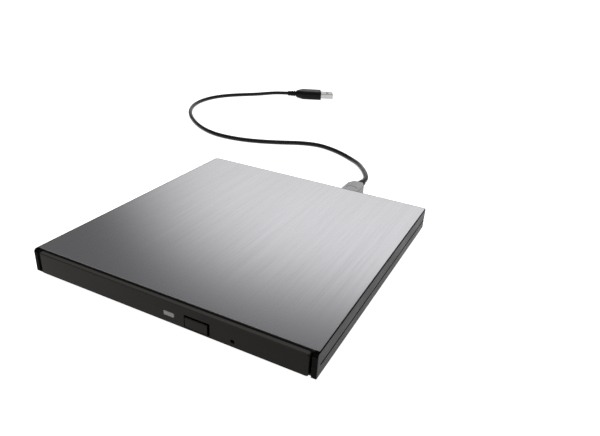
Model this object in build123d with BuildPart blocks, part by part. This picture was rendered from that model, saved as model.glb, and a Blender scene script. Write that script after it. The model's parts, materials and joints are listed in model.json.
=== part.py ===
"""External slim optical drive with a sliding tray, and the USB lead plugged into its back.

Millimetres.  x runs to the right, y to the back, z up.  The origin is on the table, under
the middle of the case.  The tray is shut, and it slides out along -y.
"""
import os
from math import cos, radians, sin, tan

from build123d import *

os.makedirs("parts", exist_ok=True)

# ------------------------------------------------------------------ case
CASE_W, CASE_D, CASE_H = 135.0, 137.6, 13.5
HALF_W, HALF_D = CASE_W / 2, CASE_D / 2
WALL = 2.0
INNER_X, INNER_BACK = HALF_W - WALL, HALF_D - WALL
FOOT_H = 1.5
FLOOR_T = 1.0
FLOOR_TOP = FOOT_H + FLOOR_T
BOTTOM_BEVEL = 1.3
REAR_CORNER_R, PILLAR_CORNER_R = 1.5, 0.5
PILLAR_TOP_BEVEL, PILLAR_BOTTOM_BEVEL = 1.1, 1.6
FRONT_SETBACK = 2.4                      # the floor and the lid stop this far behind the pillars
PANEL_FRONT = -HALF_D + FRONT_SETBACK

SEAM_Z, SEAM_GAP = 7.3, 0.04
GROOVE_LOW, GROOVE_HIGH, GROOVE_DEPTH = 6.9, 7.75, 1.0
GROOVE_FRONT = -HALF_D + 2.9
TONGUE_TOP, TONGUE_GAP = 8.25, 0.05

LID_T, LID_INSET, LID_CHAMFER = 0.5, 0.4, 0.15
LID_SEAT_Z = CASE_H - LID_T
RIM_Z = CASE_H - 0.1
TOP_UNDERSIDE = 12.1

FOOT_R, FOOT_X, FOOT_Y, FOOT_SEAT = 4.5, 56.0, 57.0, 0.2
CASE_SCREW_X, CASE_SCREW_Y = 58.0, 63.5
CASE_BOSS_SPLIT_Z = 4.0
SCREW_HEAD_R, SCREW_HEAD_H, SCREW_R, SCREW_CLEARANCE_R = 1.9, 1.2, 0.85, 1.1

# ------------------------------------------------------------------ drive chassis
CHASSIS_HALF_W, CHASSIS_FRONT, CHASSIS_BACK = 64.0, -65.6, 60.2
CHASSIS_Z, CHASSIS_TOP, SHEET = 2.6, 11.6, 0.5
CHASSIS_FLOOR = CHASSIS_Z + SHEET
SHIELD_TOP, SHIELD_FRONT = 12.0, -63.5
DRIVE_SCREW_XS, DRIVE_SCREW_Y = (-52.0, 44.0), 63.2
BRIDGE_FRONT, BRIDGE_Z = 60.6, (4.9, 5.9)
SATA_WINDOW_X, SATA_X, SATA_Z, SATA_FACE = (-44.0, -20.0), (-43.0, -21.0), (4.1, 7.2), 60.25
FLEX_X = (-40.0, -24.0)

# ------------------------------------------------------------------ tray and rails
TRAY_LEFT, TRAY_RIGHT, TRAY_FRONT, TRAY_BACK = -61.4, 54.0, -66.6, 58.6
TRAY_Z, TRAY_TOP = 3.6, 10.5
TRAY_SIDE_T, TRAY_END_T, TRAY_SKIN, TRAY_CORNER_R = 2.0, 1.2, 1.0, 3.0
TRAY_INNER_X = (TRAY_LEFT + TRAY_SIDE_T, TRAY_RIGHT - TRAY_SIDE_T)
TRAY_INNER_Y = (TRAY_FRONT + TRAY_END_T, TRAY_BACK - TRAY_END_T)
SKIN_UNDER = TRAY_TOP - TRAY_SKIN
DISC_Y, DISC_RECESS_R = -5.0, 60.6
RECESS_Z, RECESS_FLOOR_T = 8.4, 0.9
RECESS_UNDER = RECESS_Z - RECESS_FLOOR_T
FLEX_DOOR_X, CATCH_DOOR_TOP = (-47.0, -17.0), 7.4
FRONT_BOARD_Z, FRONT_BOARD_POST_XS, FRONT_BOARD_POST_Y = (4.3, 5.1), (0.0, 27.0), -53.6
MAIN_BOARD_Z, MAIN_BOARD_POSTS = (4.5, 5.3), ((-40.0, 30.0), (34.0, 30.0), (8.0, 46.0))
RAIL_FRONT, RAIL_BACK = -62.0, 57.0
RAIL_SLOT = (4.4, 6.0)
RAIL_BAR = (4.6, 5.8)
RAIL_GAP, GUIDE_TOP = 0.3, 6.8           # gap between the tray and a guide rail; the guide rail's top

# ------------------------------------------------------------------ bezel
BEZEL_HALF_W, BEZEL_FRONT, BEZEL_T = 64.4, -68.6, 2.0
BEZEL_BACK = BEZEL_FRONT + BEZEL_T
BEZEL_Z, BEZEL_TOP = 2.3, 12.3
BEZEL_CHAMFER, BEZEL_LOW_CORNER_R = 0.4, 1.2
LED_X, LED_Z, LED_W, LED_H, LED_CORNER_R = 4.4, 6.6, 5.1, 2.2, 0.6
LIGHT_GUIDE_HALF_W, LIGHT_GUIDE_Z, LIGHT_GUIDE_END = 1.2, (5.4, 6.3), -65.1
BUTTON_MOUTH_X, BUTTON_MOUTH_Z = (11.6, 23.4), (3.2, 9.0)
BUTTON_X_LIMITS, BUTTON_Z_LIMITS, BUTTON_FRONT = (11.75, 22.2), (3.35, 7.85), -68.55
BUTTON_X = sum(BUTTON_X_LIMITS) / 2
BUTTON_FLANGE_X, BUTTON_FLANGE_Y, BUTTON_FLANGE_Z = (11.1, 23.9), (-66.4, -65.8), (4.2, 9.3)
BUTTON_NUB_HALF_W, BUTTON_NUB_END, BUTTON_NUB_Z = 0.7, -64.9, (5.4, 6.8)
BUTTON_DOOR_X, BUTTON_DOOR_DEPTH = (10.8, 24.2), 0.45
PINHOLE_X, PINHOLE_Z, PINHOLE_R = 33.4, 5.1, 0.95

# ------------------------------------------------------------------ traverse
# Along the pickup's travel, u runs out from the disc's centre and v runs across it.
TRAVERSE_ANGLE = 225.0
DECK_Z, DECK_T = 6.8, 0.6
DECK_U, DECK_V = (-20.0, 67.0), 17.0
DRIVE_LINE_Z = 5.6                       # height of the rods and the lead screw
ROD_R, ROD_V, ROD_U, RUNNING_GAP = 0.75, 12.5, (8.0, 66.4), 0.05
SCREW_V, LEAD_SCREW_R, LEAD_SCREW_PITCH = -15.6, 0.8, 3.0
LENS_U = 24.0                            # nearest the disc's centre; the sled runs out from here
SLED_U, SLED_V, SLED_Z, SLED_T = (LENS_U - 8.5, LENS_U + 5.6), (-14.2, 14.0), 4.4, 2.1
EAR_R, EARS, TRAY_SCREW_R = 3.0, ((20.0, 19.5), (20.0, -19.5), (-22.0, 0.0)), 0.7

# ------------------------------------------------------------------ spindle
ROTOR_R, ROTOR_SKIRT_T = 12.5, 0.8
TURNTABLE_R, TURNTABLE_Z, TURNTABLE_TOP = 14.5, 8.0, 9.0
DISC_SEAT_Z = 9.3
BOSS_R, BOSS_TOP = 7.45, 10.9
CLAW_W, CLAW_TIP_R, CLAW_ROOT_R = 2.6, 7.62, 4.2
CLAW_Z = (10.15, 10.65)

# ------------------------------------------------------------------ latch
LATCH_X, LATCH_Y, LATCH_Z, LATCH_T = 47.0, -58.0, 4.6, 1.0
LATCH_HUB_R, LATCH_PIN_R, LATCH_BOSS_Z, LATCH_PIN_TOP = 2.2, 1.0, 5.8, 7.5
SOLENOID_Z, SOLENOID_POST_XS, SOLENOID_POST_Y = (4.0, 7.2), (37.0, 43.6), -62.5
LATCH_RELEASED = -13.0
CATCH_X, CATCH_Y, CATCH_R = 44.0, -46.0, 1.0

# ------------------------------------------------------------------ eject plunger
PLUNGER_X, PLUNGER_Z, PLUNGER_R, PLUNGER_HEAD_R = -53.0, 5.6, 1.0, 1.7
PLUNGER_END, PLUNGER_TRAVEL = 59.3, 9.0
PLUNGER_COLLAR_R, PLUNGER_COLLAR_T = 1.5, 0.8
PLUNGER_GUIDE = (36.0, 39.6)             # the tray's block that the plunger slides through

# ------------------------------------------------------------------ USB lead
PORT_X, PORT_Z = 20.3, 7.2
PLUG_FACE, PLUG_SHOULDER, PLUG_BACK, RELIEF_END = 69.2, 86.0, 90.6, 98.0
PLUG_W, PLUG_H = 10.4, 6.8
CORD_D = 3.2
CORD_ROUTE = [
    (20.3, 98.0, 7.2), (20.3, 104.5, 7.2), (17.2, 112.0, 6.7), (13.2, 120.0, 5.7),
    (8.0, 129.3, 4.3), (1.6, 139.0, 2.9), (-6.3, 147.3, 1.65), (-16.6, 154.2, 1.65),
    (-27.8, 159.4, 1.65), (-39.4, 162.0, 1.65), (-51.8, 158.6, 1.65), (-64.0, 151.0, 1.65),
    (-77.5, 143.8, 1.65), (-91.0, 139.0, 1.65), (-104.0, 137.2, 1.65), (-117.0, 138.0, 1.65),
    (-130.0, 142.6, 1.65), (-143.5, 150.8, 1.65), (-156.5, 161.8, 1.65), (-167.3, 173.5, 1.65),
    (-175.4, 186.0, 1.65), (-181.0, 199.0, 1.65), (-183.6, 212.5, 1.65), (-183.0, 226.0, 1.65),
    (-179.3, 238.0, 1.65), (-172.8, 248.7, 1.65), (-164.6, 258.2, 1.65), (-156.3, 267.0, 1.65),
    (-147.0, 274.8, 2.6), (-136.9, 277.8, 4.1), (-129.0, 282.0, 4.1),
]
USB_A_RELIEF_L, USB_A_COVER_L, USB_A_SHELL_L = 9.0, 23.5, 12.0


def slab(x_limits, y_limits, z_limits, mode=Mode.ADD):
    """Add or cut a box between limits, in the part that is being built."""
    limits = (x_limits, y_limits, z_limits)
    with Locations(tuple(sum(pair) / 2 for pair in limits)):
        Box(*(pair[1] - pair[0] for pair in limits), mode=mode)


def post(x, y, z_low, z_high, radius, mode=Mode.ADD):
    """Add or cut an upright cylinder, in the part that is being built."""
    with Locations((x, y, (z_low + z_high) / 2)):
        Cylinder(radius, z_high - z_low, mode=mode)


def lying(x, z, y_low, y_high, radius, mode=Mode.ADD):
    """Add or cut a cylinder lying along y, in the part that is being built."""
    with Locations(Location((x, (y_low + y_high) / 2, z), (90, 0, 0))):
        Cylinder(radius, y_high - y_low, mode=mode)


def traverse_plane(z):
    """Plane at height z whose x runs along the pickup's travel, from the disc's centre."""
    angle = radians(TRAVERSE_ANGLE)
    return Plane(origin=(0, DISC_Y, z), x_dir=(cos(angle), sin(angle), 0), z_dir=(0, 0, 1))


def save(piece, name):
    """Label a finished piece and write it to its own file."""
    piece.part.label = name
    export_step(piece.part, f"parts/{name}.step")


# ================================================================== case
def case_blank(z_low, z_high):
    """Solid block with the case's outline between two heights."""
    with BuildPart() as blank:
        with BuildSketch(Plane.XY.offset(z_low)) as outline:
            Rectangle(CASE_W, CASE_D)
            fillet(outline.vertices().sort_by(Axis.Y)[-2:], REAR_CORNER_R)
        extrude(amount=z_high - z_low)
    return blank.part


def cut_groove():
    """Cut the reveal groove round the case: both sides, with round front ends, and the back."""
    half_height = (GROOVE_HIGH - GROOVE_LOW) / 2
    mid_z = GROOVE_LOW + half_height
    for side in (-1, 1):
        x = side * (HALF_W - GROOVE_DEPTH / 2)
        with Locations(Location((x, GROOVE_FRONT + half_height, mid_z), (0, 90, 0))):
            Cylinder(half_height, GROOVE_DEPTH, mode=Mode.SUBTRACT)
        slab((x - GROOVE_DEPTH / 2, x + GROOVE_DEPTH / 2), (GROOVE_FRONT + half_height, HALF_D),
             (GROOVE_LOW, GROOVE_HIGH), Mode.SUBTRACT)
    slab((-HALF_W, HALF_W), (HALF_D - GROOVE_DEPTH, HALF_D), (GROOVE_LOW, GROOVE_HIGH), Mode.SUBTRACT)


def cut_port():
    """Cut the hole that the USB socket looks out of."""
    slab((PORT_X - 4.0, PORT_X + 4.0), (INNER_BACK - 0.5, HALF_D), (PORT_Z - 1.5, PORT_Z + 1.5),
         Mode.SUBTRACT)


def make_bottom_cover():
    boss_r, boss_low_r, board_post_r, board_post_xs, board_post_y = 3.0, 2.4, 1.5, (-10.0, 10.0), 63.5
    label_half_w, label_half_d, label_depth = 26.0, 18.0, 0.15
    with BuildPart() as bottom_cover:
        add(case_blank(FOOT_H, SEAM_Z))
        underside = bottom_cover.faces().sort_by(Axis.Z)[0]
        chamfer(underside.edges().sort_by(Axis.Y)[1:], BOTTOM_BEVEL)
        chamfer(bottom_cover.faces().sort_by(Axis.Z)[0].edges().sort_by(Axis.Y)[0], PILLAR_BOTTOM_BEVEL)
        fillet(bottom_cover.edges().filter_by(Axis.Z).group_by(Axis.Y)[0], PILLAR_CORNER_R)
        slab((-INNER_X, INNER_X), (-HALF_D, INNER_BACK), (FLOOR_TOP, SEAM_Z), Mode.SUBTRACT)
        slab((-INNER_X, INNER_X), (-HALF_D, PANEL_FRONT), (0, SEAM_Z), Mode.SUBTRACT)
        cut_groove()
        with BuildSketch(Plane.XY.offset(SEAM_Z)):
            with Locations((0, (GROOVE_FRONT + HALF_D - GROOVE_DEPTH) / 2)):
                Rectangle(CASE_W - 2 * GROOVE_DEPTH, HALF_D - GROOVE_DEPTH - GROOVE_FRONT)
            with Locations((0, (GROOVE_FRONT + INNER_BACK) / 2)):
                Rectangle(2 * INNER_X, INNER_BACK - GROOVE_FRONT, mode=Mode.SUBTRACT)
        extrude(amount=TONGUE_TOP - SEAM_Z)
        cut_port()
        for side in (-1, 1):
            post(side * CASE_SCREW_X, CASE_SCREW_Y, FLOOR_TOP, CASE_BOSS_SPLIT_Z, boss_r)
            post(side * CASE_SCREW_X, CASE_SCREW_Y, FOOT_H, FOOT_H + 0.2 + SCREW_HEAD_H,
                 SCREW_HEAD_R + 0.2, Mode.SUBTRACT)
            post(side * CASE_SCREW_X, CASE_SCREW_Y, FOOT_H, CASE_BOSS_SPLIT_Z, SCREW_CLEARANCE_R,
                 Mode.SUBTRACT)
        for x in DRIVE_SCREW_XS:
            post(x, DRIVE_SCREW_Y, FLOOR_TOP, CASE_BOSS_SPLIT_Z, boss_low_r)
            post(x, DRIVE_SCREW_Y, FLOOR_TOP, CASE_BOSS_SPLIT_Z, SCREW_R, Mode.SUBTRACT)
        for x in board_post_xs:
            post(x, board_post_y, FLOOR_TOP, BRIDGE_Z[0], board_post_r)
        with Locations((-FOOT_X, -FOOT_Y, FOOT_H), (FOOT_X, -FOOT_Y, FOOT_H),
                       (-FOOT_X, FOOT_Y, FOOT_H), (FOOT_X, FOOT_Y, FOOT_H)):
            Cylinder(FOOT_R, 2 * FOOT_SEAT, mode=Mode.SUBTRACT)
        slab((-label_half_w, label_half_w), (-label_half_d, label_half_d), (0, FOOT_H + label_depth),
             Mode.SUBTRACT)
    save(bottom_cover, "bottom_cover")


def make_top_cover():
    lid_gap, boss_r, screw_end_z = 0.05, 2.4, 9.0
    with BuildPart() as top_cover:
        add(case_blank(SEAM_Z + SEAM_GAP, RIM_Z))
        chamfer(top_cover.faces().sort_by(Axis.Z)[-1].edges().sort_by(Axis.Y)[0], PILLAR_TOP_BEVEL)
        fillet(top_cover.edges().filter_by(Axis.Z).group_by(Axis.Y)[0], PILLAR_CORNER_R)
        slab((-INNER_X, INNER_X), (-HALF_D, INNER_BACK), (SEAM_Z, TOP_UNDERSIDE), Mode.SUBTRACT)
        slab((-INNER_X, INNER_X), (-HALF_D, PANEL_FRONT), (SEAM_Z, CASE_H), Mode.SUBTRACT)
        slab((-HALF_W + LID_INSET - lid_gap, HALF_W - LID_INSET + lid_gap),
             (PANEL_FRONT, HALF_D - LID_INSET + lid_gap), (LID_SEAT_Z, CASE_H), Mode.SUBTRACT)
        cut_groove()
        with BuildSketch(Plane.XY.offset(SEAM_Z)):
            with Locations((0, (GROOVE_FRONT + HALF_D - GROOVE_DEPTH) / 2)):
                Rectangle(CASE_W - 2 * (GROOVE_DEPTH - TONGUE_GAP),
                          HALF_D - GROOVE_DEPTH - GROOVE_FRONT + 2 * TONGUE_GAP)
        extrude(amount=TONGUE_TOP + TONGUE_GAP - SEAM_Z, mode=Mode.SUBTRACT)
        cut_port()
        for side in (-1, 1):
            post(side * CASE_SCREW_X, CASE_SCREW_Y, CASE_BOSS_SPLIT_Z, TOP_UNDERSIDE, boss_r)
            post(side * CASE_SCREW_X, CASE_SCREW_Y, CASE_BOSS_SPLIT_Z, screw_end_z, SCREW_R,
                 Mode.SUBTRACT)
    save(top_cover, "top_cover")


def make_lid_plate():
    with BuildPart() as lid_plate:
        length = HALF_D - LID_INSET - PANEL_FRONT
        with BuildSketch(Plane.XY.offset(LID_SEAT_Z)) as outline:
            with Locations((0, PANEL_FRONT + length / 2)):
                Rectangle(CASE_W - 2 * LID_INSET, length)
            fillet(outline.vertices().sort_by(Axis.Y)[-2:], REAR_CORNER_R - LID_INSET)
            fillet(outline.vertices().sort_by(Axis.Y)[:2], 0.4)
        extrude(amount=LID_T)
        chamfer(lid_plate.faces().sort_by(Axis.Z)[-1].edges(), LID_CHAMFER)
    save(lid_plate, "lid_plate")


def make_rubber_feet():
    with BuildPart() as rubber_feet:
        with Locations((0, 0, (FOOT_H + FOOT_SEAT) / 2)):
            with GridLocations(2 * FOOT_X, 2 * FOOT_Y, 2, 2):
                Cylinder(FOOT_R - 0.05, FOOT_H + FOOT_SEAT)
        fillet(rubber_feet.edges().group_by(Axis.Z)[0], 0.4)
    save(rubber_feet, "rubber_feet")


def pan_screw(x, y, z_head, z_tip, head_side, shank_r, head_r, head_h):
    """One cross-recessed screw; head_side is +1 for a head on top and -1 for one underneath."""
    with BuildPart() as screw:
        post(x, y, min(z_head, z_tip), max(z_head, z_tip), shank_r)
        z_far = z_head + head_side * head_h
        post(x, y, min(z_head, z_far), max(z_head, z_far), head_r)
        recess = head_h * 0.55
        for size in ((head_r * 1.2, 0.35), (0.35, head_r * 1.2)):
            with Locations((x, y, z_far - head_side * recess / 2)):
                Box(*size, recess, mode=Mode.SUBTRACT)
    return screw.part


def make_case_screws():
    with BuildPart() as case_screws:
        for side in (-1, 1):
            add(pan_screw(side * CASE_SCREW_X, CASE_SCREW_Y, FOOT_H + 0.2 + SCREW_HEAD_H, 8.5, -1,
                          SCREW_R, SCREW_HEAD_R, SCREW_HEAD_H))
    save(case_screws, "case_screws")


# ================================================================== drive chassis and electronics
def make_drive_chassis():
    ear_half_w, ear_end = 3.0, 2.6
    floor_holes, floor_hole_r = ((-30, -20), (25, -20), (25, 30)), 3.0
    wall_hole_ys, wall_hole_z, wall_hole_r = (-50, -5, 40), 8.6, 1.0
    with BuildPart() as drive_chassis:
        slab((-CHASSIS_HALF_W, CHASSIS_HALF_W), (CHASSIS_FRONT, CHASSIS_BACK), (CHASSIS_Z, CHASSIS_TOP))
        inner = CHASSIS_HALF_W - SHEET
        slab((-inner, inner), (CHASSIS_FRONT, CHASSIS_BACK - SHEET), (CHASSIS_FLOOR, CHASSIS_TOP),
             Mode.SUBTRACT)
        slab(SATA_WINDOW_X, (CHASSIS_BACK - SHEET, CHASSIS_BACK), (3.8, 7.6), Mode.SUBTRACT)
        for x in DRIVE_SCREW_XS:
            slab((x - ear_half_w, x + ear_half_w), (CHASSIS_BACK, DRIVE_SCREW_Y + ear_end),
                 (CASE_BOSS_SPLIT_Z, CASE_BOSS_SPLIT_Z + SHEET))
            post(x, DRIVE_SCREW_Y, CASE_BOSS_SPLIT_Z, CASE_BOSS_SPLIT_Z + SHEET, SCREW_R + 0.15,
                 Mode.SUBTRACT)
        with Locations(*((x, y, CHASSIS_Z) for x, y in floor_holes)):
            Cylinder(floor_hole_r, 4 * SHEET, mode=Mode.SUBTRACT)
        for side in (-1, 1):
            for y in wall_hole_ys:
                with Locations(Location((side * CHASSIS_HALF_W, y, wall_hole_z), (0, 90, 0))):
                    Cylinder(wall_hole_r, 4 * SHEET, mode=Mode.SUBTRACT)
    save(drive_chassis, "drive_chassis")


def make_drive_top_shield():
    bead_r, bead_w, bead_depth = 46.0, 1.5, 0.15
    with BuildPart() as drive_top_shield:
        slab((-CHASSIS_HALF_W, CHASSIS_HALF_W), (SHIELD_FRONT, CHASSIS_BACK), (CHASSIS_TOP, SHIELD_TOP))
        with BuildSketch(Plane.XY.offset(SHIELD_TOP)):
            with Locations((0, DISC_Y)):
                Circle(bead_r)
                Circle(bead_r - bead_w, mode=Mode.SUBTRACT)
        extrude(amount=-bead_depth, mode=Mode.SUBTRACT)
    save(drive_top_shield, "drive_top_shield")


def make_drive_screws():
    with BuildPart() as drive_screws:
        for x in DRIVE_SCREW_XS:
            add(pan_screw(x, DRIVE_SCREW_Y, CASE_BOSS_SPLIT_Z + SHEET, FLOOR_TOP, 1, SCREW_R, 1.7, 0.9))
    save(drive_screws, "drive_screws")


def make_latch_catch():
    with BuildPart() as latch_catch:
        post(CATCH_X, CATCH_Y, CHASSIS_FLOOR, CHASSIS_FLOOR + 0.3, 2.0)
        post(CATCH_X, CATCH_Y, CHASSIS_FLOOR, 7.0, CATCH_R)
        chamfer(latch_catch.edges().group_by(Axis.Z)[-1], 0.25)
    save(latch_catch, "latch_catch")


def make_bridge_electronics():
    """The board behind the drive, its USB socket, and the plug and socket that join it to the drive."""
    with BuildPart() as bridge_board:
        slab((-48, 34), (BRIDGE_FRONT, 66.4), BRIDGE_Z)
        slab(SATA_WINDOW_X, (BRIDGE_FRONT, 64.8), BRIDGE_Z, Mode.SUBTRACT)
    save(bridge_board, "bridge_board")

    with BuildPart() as bridge_chips:
        for x, y, width, depth, height in ((0.0, 63.5, 5.2, 5.0, 0.9), (7.1, 63.2, 3.2, 1.6, 0.7),
                                           (10.6, 63.9, 1.0, 1.8, 0.6), (12.4, 63.9, 1.0, 1.8, 0.6),
                                           (-5.0, 63.9, 1.0, 1.8, 0.6), (-7.0, 63.9, 1.0, 1.8, 0.6)):
            slab((x - width / 2, x + width / 2), (y - depth / 2, y + depth / 2),
                 (BRIDGE_Z[1], BRIDGE_Z[1] + height))
    save(bridge_chips, "bridge_chips")

    mouth_y, shell_l, shell_t, contact_l = HALF_D - 0.4, 5.5, 0.25, 4.0
    with BuildPart() as usb_socket:
        with BuildSketch(Plane.XZ.offset(-mouth_y)):
            with Locations((PORT_X, PORT_Z)):
                RectangleRounded(7.6, 2.6, 0.4)
        extrude(amount=shell_l)
        with BuildSketch(Plane.XZ.offset(-mouth_y)):
            with Locations((PORT_X, PORT_Z)):
                RectangleRounded(7.6 - 2 * shell_t, 2.6 - 2 * shell_t, 0.3)
        extrude(amount=shell_l - 0.5, mode=Mode.SUBTRACT)
        slab((PORT_X - 1.9, PORT_X + 1.9), (mouth_y - 1.0 - contact_l, mouth_y - 1.0),
             (PORT_Z - 0.25, PORT_Z + 0.3))
    save(usb_socket, "usb_socket")

    with BuildPart() as sata_plug:
        slab(SATA_X, (SATA_FACE + 0.1, 64.6), (SATA_Z[0] + 0.05, SATA_Z[1] - 0.05))
    save(sata_plug, "sata_plug")

    with BuildPart() as sata_socket:
        slab(SATA_X, (54.0, SATA_FACE), SATA_Z)
        slab((SATA_X[0] + 1.5, SATA_X[1] - 1.5), (58.5, SATA_FACE), (5.0, 6.3), Mode.SUBTRACT)
    save(sata_socket, "sata_socket")

    with BuildPart() as connector_board:
        slab((-46, -18), (51.4, 59.4), (3.3, SATA_Z[0]))
    save(connector_board, "connector_board")

    flex_z = (CHASSIS_FLOOR + 0.02, CHASSIS_FLOOR + 0.16)
    with BuildPart() as flex_cable:
        slab(FLEX_X, (-6, 51.4), flex_z)
        slab(FLEX_X, (49, 51.4), (flex_z[0], SATA_Z[0]))
    save(flex_cable, "flex_cable")


# ================================================================== rails
def make_rails(side_name, edge_x, side):
    """A fixed guide rail and the slide rail that runs between it and the tray's edge."""
    def across(low, high):
        return tuple(sorted((edge_x + side * low, edge_x + side * high)))

    with BuildPart() as guide_rail:
        slab(across(RAIL_GAP, 2.0), (RAIL_FRONT - 1, RAIL_BACK + 1.5), (CHASSIS_FLOOR, GUIDE_TOP))
        slab(across(RAIL_GAP, 1.6), (RAIL_FRONT - 1, RAIL_BACK + 0.5), RAIL_SLOT, Mode.SUBTRACT)
    save(guide_rail, f"{side_name}_guide_rail")

    with BuildPart() as slide_rail:
        slab(across(-0.8, 1.4), (RAIL_FRONT, RAIL_BACK), RAIL_BAR)
        for y in range(-50, 50, 20):
            slab(across(0.0, 0.7), (y, y + 10), RAIL_BAR, Mode.SUBTRACT)
    save(slide_rail, f"{side_name}_slide_rail")


# ================================================================== tray
def make_tray():
    """The tray's frame: its walls, its top skin and the wall of the disc's recess."""
    with BuildPart() as tray:
        slab((TRAY_LEFT, TRAY_RIGHT), (TRAY_FRONT, TRAY_BACK), (TRAY_Z, TRAY_TOP))
        fillet(tray.edges().filter_by(Axis.Z).sort_by(Axis.Y)[-2:], TRAY_CORNER_R)
        post(0, DISC_Y, RECESS_Z, TRAY_TOP, DISC_RECESS_R, Mode.SUBTRACT)
        slab(TRAY_INNER_X, TRAY_INNER_Y, (TRAY_Z, RECESS_Z), Mode.SUBTRACT)
        with BuildSketch(Plane.XY.offset(RECESS_Z)):
            with Locations((sum(TRAY_INNER_X) / 2, sum(TRAY_INNER_Y) / 2)):
                Rectangle(TRAY_INNER_X[1] - TRAY_INNER_X[0], TRAY_INNER_Y[1] - TRAY_INNER_Y[0])
            with Locations((0, DISC_Y)):
                Circle(DISC_RECESS_R + TRAY_SKIN, mode=Mode.SUBTRACT)
        extrude(amount=SKIN_UNDER - RECESS_Z, mode=Mode.SUBTRACT)
        for edge_x, side in ((TRAY_LEFT, 1), (TRAY_RIGHT, -1)):
            slab(tuple(sorted((edge_x, edge_x + side))), (TRAY_FRONT, TRAY_BACK), RAIL_SLOT,
                 Mode.SUBTRACT)
        back_wall = (TRAY_INNER_Y[1], TRAY_BACK)
        slab((CATCH_X - 2.2, CATCH_X + 2.2), back_wall, (TRAY_Z, CATCH_DOOR_TOP), Mode.SUBTRACT)
        slab(FLEX_DOOR_X, back_wall, (TRAY_Z, RECESS_UNDER), Mode.SUBTRACT)
        cut_front_openings(TRAY_INNER_Y[0])
        post(LATCH_X, LATCH_Y, LATCH_BOSS_Z, SKIN_UNDER, LATCH_HUB_R)
        post(LATCH_X, LATCH_Y, LATCH_BOSS_Z, LATCH_PIN_TOP, LATCH_PIN_R, Mode.SUBTRACT)
        for x in SOLENOID_POST_XS:
            post(x, SOLENOID_POST_Y, SOLENOID_Z[1], SKIN_UNDER, 1.4)
        slab((PLUNGER_X - 2.4, PLUNGER_X + 2.4), PLUNGER_GUIDE, (4.0, SKIN_UNDER))
        lying(PLUNGER_X, PLUNGER_Z, *PLUNGER_GUIDE, PLUNGER_R + RUNNING_GAP, Mode.SUBTRACT)
        lying(PLUNGER_X, PLUNGER_Z, *back_wall, PLUNGER_HEAD_R + 0.2, Mode.SUBTRACT)
    save(tray, "tray")


def make_tray_floor():
    """The floor of the disc's recess, with its slot for the pickup and the posts of the boards."""
    with BuildPart() as tray_floor:
        post(0, DISC_Y, RECESS_UNDER, RECESS_Z, DISC_RECESS_R + TRAY_SKIN)
        slab(TRAY_INNER_X, TRAY_INNER_Y, (RECESS_UNDER, RECESS_Z), Mode.INTERSECT)
        with BuildSketch(traverse_plane(RECESS_UNDER)):
            with Locations((23.0, 0)):
                RectangleRounded(84.0, 31.0, 3.0)
            with Locations(*EARS):
                Circle(TRAY_SCREW_R)
        extrude(amount=RECESS_FLOOR_T, mode=Mode.SUBTRACT)
        cut_front_openings(TRAY_INNER_Y[0])
        for x in FRONT_BOARD_POST_XS:
            post(x, FRONT_BOARD_POST_Y, FRONT_BOARD_Z[1], RECESS_UNDER, 1.6)
        for x, y in MAIN_BOARD_POSTS:
            post(x, y, MAIN_BOARD_Z[1], RECESS_UNDER, 1.8)
    save(tray_floor, "tray_floor")


def cut_front_openings(inner_front):
    """Openings in the tray's front wall for the light, the button and the emergency pin."""
    slab((LED_X - LED_W / 2 - 0.2, LED_X + LED_W / 2 + 0.2), (TRAY_FRONT, inner_front),
         (LED_Z - LED_H / 2 - 0.2, LED_Z + LED_H / 2 + 0.2), Mode.SUBTRACT)
    slab(BUTTON_DOOR_X, (TRAY_FRONT, inner_front + BUTTON_DOOR_DEPTH), (TRAY_Z, SKIN_UNDER),
         Mode.SUBTRACT)
    lying(PINHOLE_X, PINHOLE_Z, TRAY_FRONT, inner_front, PINHOLE_R + 0.2, Mode.SUBTRACT)


def make_bezel():
    with BuildPart() as bezel:
        with BuildSketch(Plane.XZ.offset(-BEZEL_BACK)) as outline:
            with Locations((0, (BEZEL_Z + BEZEL_TOP) / 2)):
                Rectangle(2 * BEZEL_HALF_W, BEZEL_TOP - BEZEL_Z)
            fillet(outline.vertices().sort_by(Axis.Z)[:2], BEZEL_LOW_CORNER_R)
        extrude(amount=BEZEL_T)
        chamfer(bezel.faces().sort_by(Axis.Y)[0].edges(), BEZEL_CHAMFER)
        slab(BUTTON_MOUTH_X, (BEZEL_FRONT, BEZEL_BACK), BUTTON_MOUTH_Z, Mode.SUBTRACT)
        with BuildSketch(Plane.XZ.offset(-BEZEL_FRONT)):
            with Locations((LED_X, LED_Z)):
                RectangleRounded(LED_W, LED_H, LED_CORNER_R)
            with Locations((PINHOLE_X, PINHOLE_Z)):
                Circle(PINHOLE_R)
        extrude(amount=-BEZEL_T, mode=Mode.SUBTRACT)
    save(bezel, "bezel")


def make_led_window():
    window_gap = 0.06
    with BuildPart() as led_window:
        with BuildSketch(Plane.XZ.offset(-BEZEL_FRONT)):
            with Locations((LED_X, LED_Z)):
                RectangleRounded(LED_W - window_gap, LED_H - window_gap, LED_CORNER_R)
        extrude(amount=-BEZEL_T)
        slab((LED_X - LIGHT_GUIDE_HALF_W, LED_X + LIGHT_GUIDE_HALF_W), (BEZEL_BACK, LIGHT_GUIDE_END),
             LIGHT_GUIDE_Z)
        chamfer(led_window.faces().sort_by(Axis.Y)[0].edges(), 0.12)
    save(led_window, "led_window")


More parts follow.
